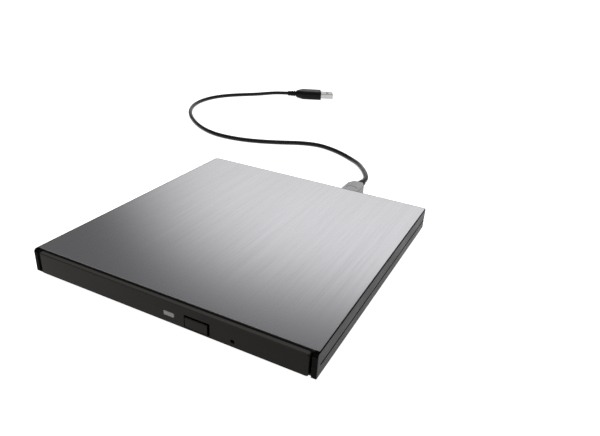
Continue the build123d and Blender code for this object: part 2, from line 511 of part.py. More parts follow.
def make_eject_button():
    with BuildPart() as eject_button:
        slab(BUTTON_X_LIMITS, (BUTTON_FRONT, BUTTON_FLANGE_Y[0]), BUTTON_Z_LIMITS)
        fillet(eject_button.faces().sort_by(Axis.Y)[0].edges(), 0.3)
        slab(BUTTON_FLANGE_X, BUTTON_FLANGE_Y, BUTTON_FLANGE_Z)
        slab((BUTTON_X - BUTTON_NUB_HALF_W, BUTTON_X + BUTTON_NUB_HALF_W),
             (BUTTON_FLANGE_Y[1], BUTTON_NUB_END), BUTTON_NUB_Z)
    save(eject_button, "eject_button")


def make_tray_front_electronics():
    board_front, component_z, led_front = -64.8, FRONT_BOARD_Z[1], -64.0
    with BuildPart() as tray_board:
        slab((-2, 29), (board_front, -52), FRONT_BOARD_Z)
    save(tray_board, "tray_board")

    with BuildPart() as status_led:
        slab((LED_X - 0.8, LED_X + 0.8), (board_front, led_front), (component_z, 6.0))
    save(status_led, "status_led")

    switch_half_w, switch_front, switch_top = 2.3, -64.0, 7.2
    with BuildPart() as eject_switch:
        slab((BUTTON_X - switch_half_w, BUTTON_X + switch_half_w), (switch_front, -60.6),
             (component_z, switch_top))
        slab((BUTTON_X - 0.7, BUTTON_X + 0.7), (switch_front - 0.3, switch_front), (5.5, 6.7))
    save(eject_switch, "eject_switch")


def make_main_board():
    with BuildPart() as main_board:
        slab((-46, 40), (25, 50), MAIN_BOARD_Z)
    save(main_board, "main_board")

    with BuildPart() as main_chips:
        for x, y, width, depth, height in ((-20, 38, 14, 14, 1.2), (2, 38, 9, 7, 1.0), (20, 40, 7, 5, 1.0),
                                           (20, 31, 3.2, 2.5, 0.8), (-34, 44, 6, 3, 1.1)):
            slab((x - width / 2, x + width / 2), (y - depth / 2, y + depth / 2),
                 (MAIN_BOARD_Z[1], MAIN_BOARD_Z[1] + height))
    save(main_chips, "main_chips")


# ================================================================== traverse
def make_traverse_deck():
    u_low, u_high = DECK_U
    with BuildPart() as traverse_deck:
        with BuildSketch(traverse_plane(DECK_Z)) as outline:
            with Locations(((u_low + u_high) / 2, 0)):
                Rectangle(u_high - u_low, 2 * DECK_V)
            chamfer(outline.vertices(), 3.0)
            with Locations(*EARS):
                Circle(EAR_R)
                Circle(0.9, mode=Mode.SUBTRACT)
            Circle(ROTOR_R + 0.7, mode=Mode.SUBTRACT)
            with Locations((39.5, 0)):
                Rectangle(51.0, 17.0, mode=Mode.SUBTRACT)
            with Locations((-6.5, SCREW_V)):
                Rectangle(13.0, 4.4, mode=Mode.SUBTRACT)
        extrude(amount=DECK_T)
        with BuildSketch(traverse_plane(DECK_Z)):
            for v in (-ROD_V, ROD_V):
                with Locations((9.2, v), (65.2, v)):
                    Rectangle(2.0, 2.6)
            with Locations((63.0, SCREW_V)):
                Rectangle(2.0, 2.6)
        extrude(amount=-2.2)
        for v in (-ROD_V, ROD_V):
            with Locations(drive_line(*ROD_U, v)):
                Cylinder(ROD_R, ROD_U[1] - ROD_U[0], mode=Mode.SUBTRACT)
        with Locations(drive_line(60.0, 63.0, SCREW_V)):
            Cylinder(LEAD_SCREW_R + RUNNING_GAP, 3.0, mode=Mode.SUBTRACT)
    save(traverse_deck, "traverse_deck")


def drive_line(u_low, u_high, v):
    """Location of a cylinder lying along the pickup's travel, from u_low to u_high."""
    middle = traverse_plane(DRIVE_LINE_Z).from_local_coords(Vector((u_low + u_high) / 2, v, 0))
    angle = radians(TRAVERSE_ANGLE)
    axis = Plane(origin=middle, x_dir=(0, 0, 1), z_dir=(cos(angle), sin(angle), 0))
    return axis.location


def make_rods_and_motor():
    for name, v in (("main_rod", -ROD_V), ("sub_rod", ROD_V)):
        with BuildPart() as rod:
            with Locations(drive_line(*ROD_U, v)):
                Cylinder(ROD_R, ROD_U[1] - ROD_U[0])
        save(rod, name)

    screw_u, groove_start, groove_w, groove_depth = (-0.6, 62.8), 4.0, 0.6, 0.2
    with BuildPart() as lead_screw:
        with Locations(drive_line(*screw_u, SCREW_V)):
            Cylinder(LEAD_SCREW_R, screw_u[1] - screw_u[0])
        for turn in range(18):
            u = groove_start + turn * LEAD_SCREW_PITCH
            with Locations(drive_line(u, u + groove_w, SCREW_V)):
                Cylinder(LEAD_SCREW_R, groove_w, mode=Mode.SUBTRACT)
                Cylinder(LEAD_SCREW_R - groove_depth, groove_w)
    save(lead_screw, "lead_screw")

    motor_u, motor_r = (-12.6, -0.9), 1.62
    with BuildPart() as sled_motor:
        with Locations(drive_line(*motor_u, SCREW_V)):
            Cylinder(motor_r, motor_u[1] - motor_u[0])
    save(sled_motor, "sled_motor")


def make_traverse_shield():
    with BuildPart() as traverse_shield:
        slab((TRAY_LEFT + TRAY_SIDE_T + 0.2, 40), (-65.2, 24), (TRAY_Z, TRAY_Z + 0.3))
    save(traverse_shield, "traverse_shield")


def make_tray_screws():
    with BuildPart() as tray_screws:
        for u, v in EARS:
            spot = traverse_plane(0).from_local_coords(Vector(u, v, 0))
            add(pan_screw(spot.X, spot.Y, DECK_Z, RECESS_Z - 0.1, -1, TRAY_SCREW_R, 1.6, 0.9))
    save(tray_screws, "tray_screws")


def make_pickup():
    waist_v, waist_r = 7.0, 3.2
    with BuildPart() as pickup_sled:
        with BuildSketch(traverse_plane(SLED_Z)):
            with Locations((sum(SLED_U) / 2, sum(SLED_V) / 2)):
                Rectangle(SLED_U[1] - SLED_U[0], SLED_V[1] - SLED_V[0])
            with Locations((SLED_U[0], waist_v), (SLED_U[1], waist_v)):
                Circle(waist_r, mode=Mode.SUBTRACT)
        extrude(amount=SLED_T)
        for v in (-ROD_V, ROD_V):
            with Locations(drive_line(*SLED_U, v)):
                Cylinder(ROD_R + RUNNING_GAP, SLED_U[1] - SLED_U[0], mode=Mode.SUBTRACT)
    save(pickup_sled, "pickup_sled")

    nut_u, nut_l, nut_edge_v = LENS_U - 3.0, 6.0, SCREW_V - 1.4
    with BuildPart() as feed_follower:
        with BuildSketch(traverse_plane(SLED_Z)):
            with Locations((nut_u, (nut_edge_v + SLED_V[0]) / 2)):
                Rectangle(nut_l, SLED_V[0] - nut_edge_v)
        extrude(amount=SLED_T)
        with Locations(drive_line(nut_u - nut_l / 2 - 1.0, nut_u + nut_l / 2 + 1.0, SCREW_V)):
            Cylinder(LEAD_SCREW_R + RUNNING_GAP, nut_l + 2.0, mode=Mode.SUBTRACT)
        with BuildSketch(traverse_plane(DRIVE_LINE_Z)):
            with Locations((nut_u, SCREW_V)):
                Rectangle(nut_l + 2.0, 2 * (LEAD_SCREW_R + RUNNING_GAP))
        extrude(amount=1.0, mode=Mode.SUBTRACT)
    save(feed_follower, "feed_follower")

    lens_r, holder_z, lens_z, top = 2.0, 7.0, 7.2, 7.9
    with BuildPart() as lens_holder:
        with BuildSketch(traverse_plane(holder_z)):
            with Locations((LENS_U, 0)):
                RectangleRounded(9.0, 11.0, 1.5)
                Circle(lens_r, mode=Mode.SUBTRACT)
        extrude(amount=top - holder_z)
    save(lens_holder, "lens_holder")

    with BuildPart() as lens:
        with BuildSketch(traverse_plane(lens_z)):
            with Locations((LENS_U, 0)):
                Circle(lens_r)
        extrude(amount=top - lens_z)
        fillet(lens.edges().group_by(Axis.Z)[-1], 0.5)
    save(lens, "lens")


# ================================================================== spindle
def make_spindle():
    plate_z, core_z, core_r, bearing_r, bearing_top = (4.2, 4.8), (4.8, 6.2), 9.4, 2.2, 6.7
    plate_posts, plate_post_r, shaft_r, shaft_low = ((-13.6, -10.4), (-13.6, 10.4)), 1.2, 1.0, 4.5
    with BuildPart() as spindle_stator:
        with BuildSketch(traverse_plane(plate_z[0])):
            with Locations((-4.0, 0)):
                RectangleRounded(22.0, 25.0, 3.0)
        extrude(amount=plate_z[1] - plate_z[0])
        for spot in plate_posts:
            place = traverse_plane(0).from_local_coords(Vector(*spot, 0))
            post(place.X, place.Y, plate_z[1], DECK_Z, plate_post_r)
        post(0, DISC_Y, *core_z, core_r)
        post(0, DISC_Y, plate_z[1], bearing_top, bearing_r)
        post(0, DISC_Y, shaft_low - 0.1, bearing_top, shaft_r + RUNNING_GAP, Mode.SUBTRACT)
    save(spindle_stator, "spindle_stator")

    skirt_low, skirt_roof = 5.2, TURNTABLE_Z - 0.8
    with BuildPart() as spindle_rotor:
        post(0, DISC_Y, skirt_low, TURNTABLE_Z, ROTOR_R)
        post(0, DISC_Y, skirt_low, skirt_roof, ROTOR_R - ROTOR_SKIRT_T, Mode.SUBTRACT)
        post(0, DISC_Y, shaft_low, skirt_roof, shaft_r)
    save(spindle_rotor, "spindle_rotor")

    with BuildPart() as turntable_hub:
        post(0, DISC_Y, TURNTABLE_Z, TURNTABLE_TOP, TURNTABLE_R)
        post(0, DISC_Y, TURNTABLE_TOP, BOSS_TOP, BOSS_R)
        chamfer(turntable_hub.edges().group_by(Axis.Z)[-1], 0.6)
        with BuildSketch(Plane.XY.offset(TURNTABLE_TOP)):
            with Locations((0, DISC_Y)):
                with PolarLocations((CLAW_ROOT_R + BOSS_R) / 2, 3, start_angle=90):
                    Rectangle(BOSS_R - CLAW_ROOT_R + 1.4, CLAW_W + 0.4)
        extrude(amount=BOSS_TOP - TURNTABLE_TOP, mode=Mode.SUBTRACT)
    save(turntable_hub, "turntable_hub")

    with BuildPart() as turntable_ring:
        with BuildSketch(Plane.XY.offset(TURNTABLE_TOP)):
            with Locations((0, DISC_Y)):
                Circle(14.2)
                Circle(11.2, mode=Mode.SUBTRACT)
        extrude(amount=DISC_SEAT_Z - TURNTABLE_TOP)
    save(turntable_ring, "turntable_ring")

    claw_low, claw_body_r, claw_tip_start_r = TURNTABLE_TOP + 0.1, 6.6, 6.0
    for number in range(3):
        angle = radians(90 + 120 * number)
        outward = Plane(origin=(0, DISC_Y, 0), x_dir=(cos(angle), sin(angle), 0), z_dir=(0, 0, 1))
        with BuildPart() as chuck_claw:
            with BuildSketch(outward.offset(claw_low)):
                with Locations(((CLAW_ROOT_R + claw_body_r) / 2, 0)):
                    Rectangle(claw_body_r - CLAW_ROOT_R, CLAW_W)
            extrude(amount=CLAW_Z[1] - claw_low)
            with BuildSketch(outward.offset(CLAW_Z[0])):
                with Locations(((claw_tip_start_r + CLAW_TIP_R) / 2, 0)):
                    RectangleRounded(CLAW_TIP_R - claw_tip_start_r, CLAW_W, 0.3)
            extrude(amount=CLAW_Z[1] - CLAW_Z[0])
        save(chuck_claw, f"chuck_claw_{number + 1}")


# ================================================================== latch and eject plunger
def make_latch():
    """A lever with an arm to the solenoid and another that ends in a hook, turned to its released place."""
    arm_l, arm_w, hook_arm_l, hook_arm_w, hook_l = 14.6, 2.2, 15.6, 2.4, 4.7
    angle = radians(LATCH_RELEASED)
    lever_plane = Plane(origin=(LATCH_X, LATCH_Y, LATCH_Z), x_dir=(cos(angle), sin(angle), 0),
                        z_dir=(0, 0, 1))
    with BuildPart() as latch_lever:
        with BuildSketch(lever_plane):
            Circle(LATCH_HUB_R)
            with Locations((-arm_l / 2, 0)):
                Rectangle(arm_l, arm_w)
            with Locations((0, hook_arm_l / 2)):
                Rectangle(hook_arm_w, hook_arm_l)
            with Locations((-hook_l / 2, hook_arm_l - arm_w / 2)):
                Rectangle(hook_l, arm_w)
            Circle(LATCH_PIN_R + RUNNING_GAP, mode=Mode.SUBTRACT)
        extrude(amount=LATCH_T)
    save(latch_lever, "latch_lever")

    pin_low, pin_head_r, pin_head_t = 4.0, 1.9, 0.4
    with BuildPart() as latch_pin:
        post(LATCH_X, LATCH_Y, pin_low, LATCH_PIN_TOP, LATCH_PIN_R)
        post(LATCH_X, LATCH_Y, pin_low, pin_low + pin_head_t, pin_head_r)
    save(latch_pin, "latch_pin")

    body_back = -60.0
    with BuildPart() as latch_solenoid:
        slab((35.8, 44.8), (-65.2, body_back), SOLENOID_Z)
        slab((39.0, 41.6), (body_back, body_back + 0.4), (4.6, 6.2))
        fillet(latch_solenoid.edges().filter_by(Axis.Z).group_by(Axis.Y)[0], 0.6)
    save(latch_solenoid, "latch_solenoid")


def make_eject_plunger():
    collar_front = PLUNGER_GUIDE[0] - PLUNGER_TRAVEL - PLUNGER_COLLAR_T - 0.1
    with BuildPart() as eject_plunger:
        lying(PLUNGER_X, PLUNGER_Z, collar_front, PLUNGER_END, PLUNGER_R)
        lying(PLUNGER_X, PLUNGER_Z, PLUNGER_END - 1.6, PLUNGER_END, PLUNGER_HEAD_R)
        lying(PLUNGER_X, PLUNGER_Z, collar_front, collar_front + PLUNGER_COLLAR_T, PLUNGER_COLLAR_R)
    save(eject_plunger, "eject_plunger")

    coil_r, wire_r, coils = 1.4, 0.18, 14
    with BuildPart() as eject_spring:
        with Locations(*(Location((PLUNGER_X, 40.2 + 1.3 * turn, PLUNGER_Z), (90, 0, 0))
                         for turn in range(coils))):
            Torus(coil_r, wire_r)
    save(eject_spring, "eject_spring")


# ================================================================== USB lead
def make_usb_plug():
    shell_w, shell_h, shell_t, shell_l = 6.85, 1.8, 0.25, 5.4
    with BuildPart() as usb_plug_shell:
        with BuildSketch(Plane.XZ.offset(-PLUG_FACE)):
            with Locations((PORT_X, PORT_Z)):
                RectangleRounded(shell_w, shell_h, 0.3)
                RectangleRounded(shell_w - 2 * shell_t, shell_h - 2 * shell_t, 0.15, mode=Mode.SUBTRACT)
        extrude(amount=shell_l)
    save(usb_plug_shell, "usb_plug_shell")

    with BuildPart() as usb_plug_cover:
        with BuildSketch(Plane.XY.offset(PORT_Z - PLUG_H / 2)):
            half, back_half = PLUG_W / 2, 2.9
            with BuildLine():
                Polyline((PORT_X - half, PLUG_FACE), (PORT_X + half, PLUG_FACE),
                         (PORT_X + half, PLUG_SHOULDER), (PORT_X + back_half, PLUG_BACK),
                         (PORT_X - back_half, PLUG_BACK), (PORT_X - half, PLUG_SHOULDER), close=True)
            make_face()
        extrude(amount=PLUG_H)
        fillet(usb_plug_cover.edges().filter_by(Axis.Z), 0.8)
        caps = usb_plug_cover.faces().filter_by(Axis.Z)
        fillet(caps[0].edges() + caps[1].edges(), 0.7)
        arc_r, arc_w, arc_depth, arc_y, arc_span = 3.3, 0.6, 0.3, 78.2, 150
        with BuildSketch(Plane.XY.offset(PORT_Z + PLUG_H / 2)):
            with Locations((PORT_X, arc_y)):
                SlotArc(CenterArc((0, 0), arc_r, 90 - arc_span / 2, arc_span, mode=Mode.PRIVATE), arc_w)
        extrude(amount=-arc_depth, mode=Mode.SUBTRACT)
    save(usb_plug_cover, "usb_plug_cover")

    with BuildPart() as usb_plug_relief:
        with BuildSketch(Plane.YZ.offset(PORT_X)):
            with BuildLine():
                Polyline((PLUG_BACK, PORT_Z), (PLUG_BACK, PORT_Z + 2.7), (PLUG_BACK + 2.6, PORT_Z + 2.6),
                         (PLUG_BACK + 2.6, PORT_Z + 2.15), (PLUG_BACK + 3.3, PORT_Z + 2.15),
                         (PLUG_BACK + 3.3, PORT_Z + 2.4), (RELIEF_END, PORT_Z + 2.05),
                         (RELIEF_END, PORT_Z), close=True)
            make_face()
        revolve(axis=Axis((PORT_X, 0, PORT_Z), (0, 1, 0)))
    save(usb_plug_relief, "usb_plug_relief")


def cord_radii(points):
    """Bend radius at each corner of a route, as large as its two runs allow."""
    route = [Vector(*point) for point in points]
    radii = []
    for before, here, after in zip(route, route[1:], route[2:]):
        first, second = here - before, after - here
        shorter = min(first.length, second.length)
        radii.append(0.45 * shorter / tan(radians(first.get_angle(second)) / 2))
    return radii


def make_lead_cord():
    with BuildPart() as lead_cord:
        with BuildLine() as path:
            FilletPolyline(*CORD_ROUTE, radius=cord_radii(CORD_ROUTE))
        with BuildSketch(Plane(origin=path.wire() @ 0, z_dir=path.wire() % 0)):
            Circle(CORD_D / 2)
        sweep()
    save(lead_cord, "lead_cord")


def make_usb_a_plug():
    start = Vector(*CORD_ROUTE[-1])
    along = (start - Vector(*CORD_ROUTE[-2])).normalized()
    across = Vector(0, 0, 1).cross(along)
    axis = Plane(origin=start, x_dir=across, z_dir=along)
    cover_end = USB_A_RELIEF_L + USB_A_COVER_L
    shoulder = USB_A_RELIEF_L + 6.0
    neck, body, corner_r = (9.0, 6.6), (15.4, 8.0), 3.0
    rib_starts, rib_gap, rib_r, rib_root_r = (2.6, 4.8, 7.0), 0.8, 4.0, 2.1
    with BuildPart() as usb_a_cover:
        with BuildSketch(axis):
            Circle(2.2)
        with BuildSketch(axis.offset(USB_A_RELIEF_L)):
            Circle(3.1)
        loft()
        with BuildSketch(axis.offset(USB_A_RELIEF_L)):
            RectangleRounded(*neck, corner_r)
        with BuildSketch(axis.offset(shoulder)):
            RectangleRounded(*body, corner_r)
        loft()
        with BuildSketch(axis.offset(shoulder)):
            RectangleRounded(*body, corner_r)
        extrude(amount=cover_end - shoulder)
        for rib_start in rib_starts:
            with BuildSketch(axis.offset(rib_start)):
                Circle(rib_r)
                Circle(rib_root_r, mode=Mode.SUBTRACT)
            extrude(amount=rib_gap, mode=Mode.SUBTRACT)
    save(usb_a_cover, "usb_a_cover")

    shell_w, shell_h, shell_t, window = 12.0, 4.5, 0.3, 2.2
    with BuildPart() as usb_a_shell:
        with BuildSketch(axis.offset(cover_end)):
            RectangleRounded(shell_w, shell_h, 0.5)
            RectangleRounded(shell_w - 2 * shell_t, shell_h - 2 * shell_t, 0.3, mode=Mode.SUBTRACT)
        extrude(amount=USB_A_SHELL_L)
        with BuildSketch(axis.offset(cover_end + 5.4)):
            with Locations((-2.9, 0), (2.9, 0)):
                Rectangle(window, 2 * shell_h)
        extrude(amount=window, mode=Mode.SUBTRACT)
    save(usb_a_shell, "usb_a_shell")

    with BuildPart() as usb_a_tongue:
        with BuildSketch(axis.offset(cover_end)):
            with Locations((0, -0.85)):
                RectangleRounded(shell_w - 2 * shell_t - 0.1, 2.0, 0.3)
        extrude(amount=USB_A_SHELL_L - 0.8)
    save(usb_a_tongue, "usb_a_tongue")


make_bottom_cover()
make_top_cover()
make_lid_plate()
make_rubber_feet()
make_case_screws()
make_drive_chassis()
make_drive_top_shield()
make_drive_screws()
make_latch_catch()
make_bridge_electronics()
make_rails("left", TRAY_LEFT, -1)
make_rails("right", TRAY_RIGHT, 1)
make_tray()
make_tray_floor()
make_bezel()
make_led_window()
make_eject_button()
make_tray_front_electronics()
make_main_board()
make_traverse_deck()
make_rods_and_motor()
make_traverse_shield()
make_tray_screws()
make_pickup()
make_spindle()
make_latch()
make_eject_plunger()
make_usb_plug()
make_lead_cord()
make_usb_a_plug()
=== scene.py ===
"""Looks of a slim external optical drive and its USB lead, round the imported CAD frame.

Blender works in metres, in the drive's own frame: x to the right, y to the back, z up from the table.
Names that end in _mm, and places and sizes in the materials, the spring and the screw, are in millimetres.
"""
import json
import math

import bmesh
import bpy
from mathutils import Matrix, Vector


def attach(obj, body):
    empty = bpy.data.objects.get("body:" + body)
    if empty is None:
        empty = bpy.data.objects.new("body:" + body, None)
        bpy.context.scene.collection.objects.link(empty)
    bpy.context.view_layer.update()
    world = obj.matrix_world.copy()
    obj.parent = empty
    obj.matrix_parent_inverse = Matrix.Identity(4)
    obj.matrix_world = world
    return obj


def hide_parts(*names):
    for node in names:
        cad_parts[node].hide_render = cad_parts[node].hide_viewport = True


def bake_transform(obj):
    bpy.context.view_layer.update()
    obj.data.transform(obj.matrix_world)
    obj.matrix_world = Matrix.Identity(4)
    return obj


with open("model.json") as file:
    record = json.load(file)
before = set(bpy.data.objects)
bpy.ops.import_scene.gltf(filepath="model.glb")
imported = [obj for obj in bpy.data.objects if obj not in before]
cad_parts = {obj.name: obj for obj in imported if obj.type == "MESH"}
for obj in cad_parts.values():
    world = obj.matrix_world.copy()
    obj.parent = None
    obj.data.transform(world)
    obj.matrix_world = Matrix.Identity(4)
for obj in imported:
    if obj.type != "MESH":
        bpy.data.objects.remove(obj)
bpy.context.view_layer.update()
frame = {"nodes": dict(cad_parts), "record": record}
NODES = frame["nodes"]
MM = 0.001

CORD_D = 3.2 * MM
# The route of the lead, from its strain relief to the USB-A plug, as the CAD lays it.
CORD_ROUTE_MM = [
    (20.3, 98.0, 7.2), (20.3, 104.5, 7.2), (17.2, 112.0, 6.7), (13.2, 120.0, 5.7),
    (8.0, 129.3, 4.3), (1.6, 139.0, 2.9), (-6.3, 147.3, 1.65), (-16.6, 154.2, 1.65),
    (-27.8, 159.4, 1.65), (-39.4, 162.0, 1.65), (-51.8, 158.6, 1.65), (-64.0, 151.0, 1.65),
    (-77.5, 143.8, 1.65), (-91.0, 139.0, 1.65), (-104.0, 137.2, 1.65), (-117.0, 138.0, 1.65),
    (-130.0, 142.6, 1.65), (-143.5, 150.8, 1.65), (-156.5, 161.8, 1.65), (-167.3, 173.5, 1.65),
    (-175.4, 186.0, 1.65), (-181.0, 199.0, 1.65), (-183.6, 212.5, 1.65), (-183.0, 226.0, 1.65),
    (-179.3, 238.0, 1.65), (-172.8, 248.7, 1.65), (-164.6, 258.2, 1.65), (-156.3, 267.0, 1.65),
    (-147.0, 274.8, 2.6), (-136.9, 277.8, 4.1), (-129.0, 282.0, 4.1),
]


# ------------------------------------------------------------------ node trees
class Nodes:
    """A shader node tree, with short calls for the nodes that materials and the sky share."""

    def __init__(self, tree):
        self.tree = tree

    def feed(self, socket, value):
        """Links an output to a socket, or sets the socket to a number, vector or colour."""
        if isinstance(value, bpy.types.NodeSocket):
            self.tree.links.new(value, socket)
        elif socket.type == "RGBA":
            socket.default_value = (*value, 1.0)
        else:
            socket.default_value = value

    def node(self, kind, inputs=None, **settings):
        """A new shader node, with its settings made before its inputs are fed."""
        made = self.tree.nodes.new("ShaderNode" + kind)
        for name, value in settings.items():
            setattr(made, name, value)
        for key, value in (inputs or {}).items():
            self.feed(made.inputs[key], value)
        return made

    def maths(self, operation, first, second=0.0):
        """The sum, product or other result of two numbers, each a constant or an output."""
        return self.node("Math", {0: first, 1: second}, operation=operation).outputs[0]

    def spread(self, value, low, high, to_low=0.0, to_high=1.0, **settings):
        """Stretches low..high of value to to_low..to_high."""
        limits = {"From Min": low, "From Max": high, "To Min": to_low, "To Max": to_high}
        return self.node("MapRange", {"Value": value, **limits}, **settings).outputs[0]


# Sockets of the Mix node when it mixes colours: by number, because their names repeat.
MIX_SHARE, MIX_FIRST, MIX_SECOND, MIX_RESULT = 0, 6, 7, 2


class Finish(Nodes):
    """One material: a Principled shader, with the patterns that feed it."""

    def __init__(self, name, **constants):
        self.material = bpy.data.materials.new(name)
        self.material.use_nodes = True
        super().__init__(self.material.node_tree)
        self.shader = self.tree.nodes["Principled BSDF"]
        for socket, value in constants.items():
            self.set(socket.replace("_", " "), value)
        self.coords = self.node("TexCoord").outputs["Object"]

    def set(self, socket, value):
        """Feeds the shader's socket of that name; capitals don't matter."""
        sockets = {entry.name.lower(): entry for entry in self.shader.inputs}
        self.feed(sockets[socket.lower()], value)

    def blend(self, share, first, second):
        """Mixes two colours, each a tuple or an output."""
        inputs = {MIX_SHARE: share, MIX_FIRST: first, MIX_SECOND: second}
        return self.node("Mix", inputs, data_type="RGBA").outputs[MIX_RESULT]

    def scaled(self, size, seed=0.0):
        """Coordinates in units of size, one for each axis; the seed shifts the pattern."""
        scale = tuple(1.0 / (part * MM) for part in size)
        shift = (seed, seed * 0.7, seed * 1.3)
        return self.node("Mapping", {"Vector": self.coords, "Location": shift, "Scale": scale}).outputs[0]

    def noise(self, size, detail, roughness=0.55, seed=0.0):
        """Soft noise from 0 to 1 whose grains are about size across."""
        if not isinstance(size, tuple):
            size = (size, size, size)
        inputs = {"Vector": self.scaled(size, seed), "Scale": 1.0, "Detail": detail, "Roughness": roughness}
        return self.node("TexNoise", inputs).outputs[0]

    def ramp(self, axis, start, end, to_start=0.0, to_end=1.0):
        """Goes from one value to another between two places along an axis of the drive."""
        along = self.node("SeparateXYZ", {0: self.coords}).outputs[axis]
        return self.spread(along, start * MM, end * MM, to_start, to_end)

    def between(self, axis, low, high, soft):
        """1 between two places along an axis of the drive and 0 beyond them, with soft ends."""
        past_low = self.ramp(axis, low, low + soft)
        short_of_high = self.ramp(axis, high, high - soft)
        return self.maths("MULTIPLY", past_low, short_of_high)

    def facing_up(self):
        """The upward part of the surface's normal: 1 on a level top, 0 on an upright wall."""
        normal = self.node("NewGeometry").outputs["Normal"]
        return self.node("SeparateXYZ", {0: normal}).outputs["Z"]

    def edges(self, radius):
        """1 at edges, 0 on flat faces: how far a rounded normal turns from the real one."""
        flat, turned = 0.999, 0.86
        rounded = self.node("Bevel", {"Radius": radius * MM}, samples=4).outputs[0]
        real = self.node("NewGeometry").outputs["Normal"]
        alike = self.node("VectorMath", {0: rounded, 1: real}, operation="DOT_PRODUCT").outputs["Value"]
        return self.spread(alike, flat, turned)

    def drift(self, size, dark, light):
        """Colour that wanders slowly between two tones."""
        clouds = self.noise(size, detail=4.0, seed=3.0)
        return self.blend(self.spread(clouds, 0.3, 0.7), dark, light)

    def smear(self, size, smoothest, roughest):
        """Roughness that varies a little in smears, as handling leaves them."""
        smears = self.noise(size, detail=4.0, seed=11.0)
        self.set("Roughness", self.spread(smears, 0.25, 0.75, smoothest, roughest))

    def raised(self, height, depth):
        """Bumps that stand up by depth where height is 1."""
        inputs = {"Height": height, "Strength": 1.0, "Distance": depth * MM}
        self.set("Normal", self.node("Bump", inputs).outputs[0])

    def grained(self, size, depth):
        """The fine bumps that a spark-eroded mould leaves."""
        self.raised(self.noise(size, detail=2.0, roughness=0.6, seed=7.0), depth)


# ------------------------------------------------------------------ materials
def toned(colour, by):
    """A colour made lighter or darker, up to white."""
    return tuple(min(1.0, part * by) for part in colour)


def moulded(name, colour, roughness, specular, grain, depth, wear, **constants):
    """Moulded plastic or rubber: slight drift of tone, fine grain, edges polished by handling."""
    finish = Finish(name, specular_ior_level=specular, **constants)
    body = finish.drift(18.0, toned(colour, 0.88), toned(colour, 1.12))
    finish.set("Base Color", finish.blend(finish.edges(0.25), body, toned(colour, wear)))
    finish.smear((9.0, 14.0, 6.0), roughness - 0.05, roughness + 0.07)
    finish.grained(grain, depth)
    return finish.material


def sheet_metal(name, colour, roughness, grain, depth, tarnish):
    """Rolled, ground or plated metal: fine grain, often along one way, and soft clouds of tarnish."""
    finish = Finish(name, metallic=1.0)
    clouds = finish.spread(finish.noise(7.0, detail=5.0, seed=5.0), 0.3, 0.75)
    finish.set("Base Color", finish.blend(clouds, colour, toned(colour, 1.0 - tarnish)))
    lines = finish.noise(grain, detail=3.0, roughness=0.7, seed=2.0)
    finish.set("Roughness", finish.spread(lines, 0.2, 0.8, roughness * 0.8, roughness * 1.25))
    finish.raised(lines, depth)
    return finish.material


def optics(name, colour, roughness, transmission, **constants):
    """Clear or clouded moulded optics."""
    finish = Finish(name, roughness=roughness, transmission_weight=transmission, **constants)
    cloud = finish.spread(finish.noise(1.6, detail=3.0), 0.3, 0.7)
    finish.set("Base Color", finish.blend(cloud, colour, toned(colour, 0.88)))
    finish.raised(finish.noise(0.4, detail=2.0), 0.002)
    return finish.material


def brushed_lid():
    """Anodised aluminium, brushed from front to back with hairlines of many widths, and painted shade on
    its sides.
    """
    finish = Finish("brushed_lid", anisotropic=0.3)
    hair = finish.noise((0.11, 22.0, 22.0), detail=4.0, roughness=0.75, seed=1.0)
    coarse = finish.noise((0.42, 60.0, 60.0), detail=3.0, roughness=0.6, seed=4.0)
    bands = finish.noise((3.2, 170.0, 170.0), detail=2.0, roughness=0.5, seed=9.0)
    lines = 0.0
    for layer, share in ((hair, 0.55), (coarse, 0.33), (bands, 0.12)):
        lines = finish.maths("ADD", lines, finish.maths("MULTIPLY", layer, share))
    tone = finish.spread(lines, 0.36, 0.64)
    brushed = finish.blend(tone, (0.474, 0.474, 0.494), (0.540, 0.540, 0.561))
    # Painted shade: faces that don't look up are painted dark and not metal, for the shade along the lid's
    # edges.
    on_top = finish.spread(finish.facing_up(), 0.62, 0.88)
    painted_shade_rim = (0.035, 0.035, 0.036)
    finish.set("Base Color", finish.blend(on_top, painted_shade_rim, brushed))
    finish.set("Metallic", on_top)
    finish.set("Roughness", finish.spread(lines, 0.35, 0.65, 0.19, 0.145))
    finish.raised(lines, 0.0007)
    finish.set("Tangent", finish.node("Tangent", direction_type="RADIAL", axis="X").outputs[0])
    return finish.material


def case_shell():
    """Dark satin moulding of the case, with painted shade that makes it almost black on its front, in its
    groove and just under the lid.
    """
    finish = Finish("case_shell", specular_tint=(1.0, 0.98, 0.91))
    worn, painted_front_black, shade_black = (0.040, 0.041, 0.039), (0.0012, 0.0012, 0.0011), (0.001, 0.001, 0.001)
    body = finish.drift(18.0, (0.012, 0.0122, 0.0115), (0.016, 0.0162, 0.0155))
    body = finish.blend(finish.edges(0.15), body, worn)

    # Painted shade: the front of the case is painted near-black, darkest above the bezel.
    to_front = finish.ramp("Y", -67.4, -68.4)
    over_bezel = finish.ramp("Z", 12.2, 12.5, 0.75, 1.0)
    front_shade_share = finish.maths("MULTIPLY", to_front, over_bezel)
    body = finish.blend(front_shade_share, body, painted_front_black)

    # Painted shade: the groove, which starts behind the pillars, and the strip under the lid's edge are
    # painted near-black, where little light gets in.
    groove_low, groove_high = 6.86, 7.78
    in_groove = finish.between("Z", groove_low, groove_high, soft=0.06)
    behind_pillars = finish.ramp("Y", -66.0, -65.6)
    under_lid = finish.ramp("Z", 12.9, 13.1)
    shade = finish.maths("MAXIMUM", finish.maths("MULTIPLY", in_groove, behind_pillars), under_lid)
    finish.set("Base Color", finish.blend(shade, body, shade_black))

    # The painted shade also takes the gloss away there.
    dull = finish.maths("MAXIMUM", shade, front_shade_share)
    finish.set("Specular IOR Level", finish.spread(dull, 0.0, 1.0, 0.045, 0.004))
    finish.smear((9.0, 14.0, 6.0), 0.32, 0.42)
    finish.grained(0.3, 0.003)
    return finish.material


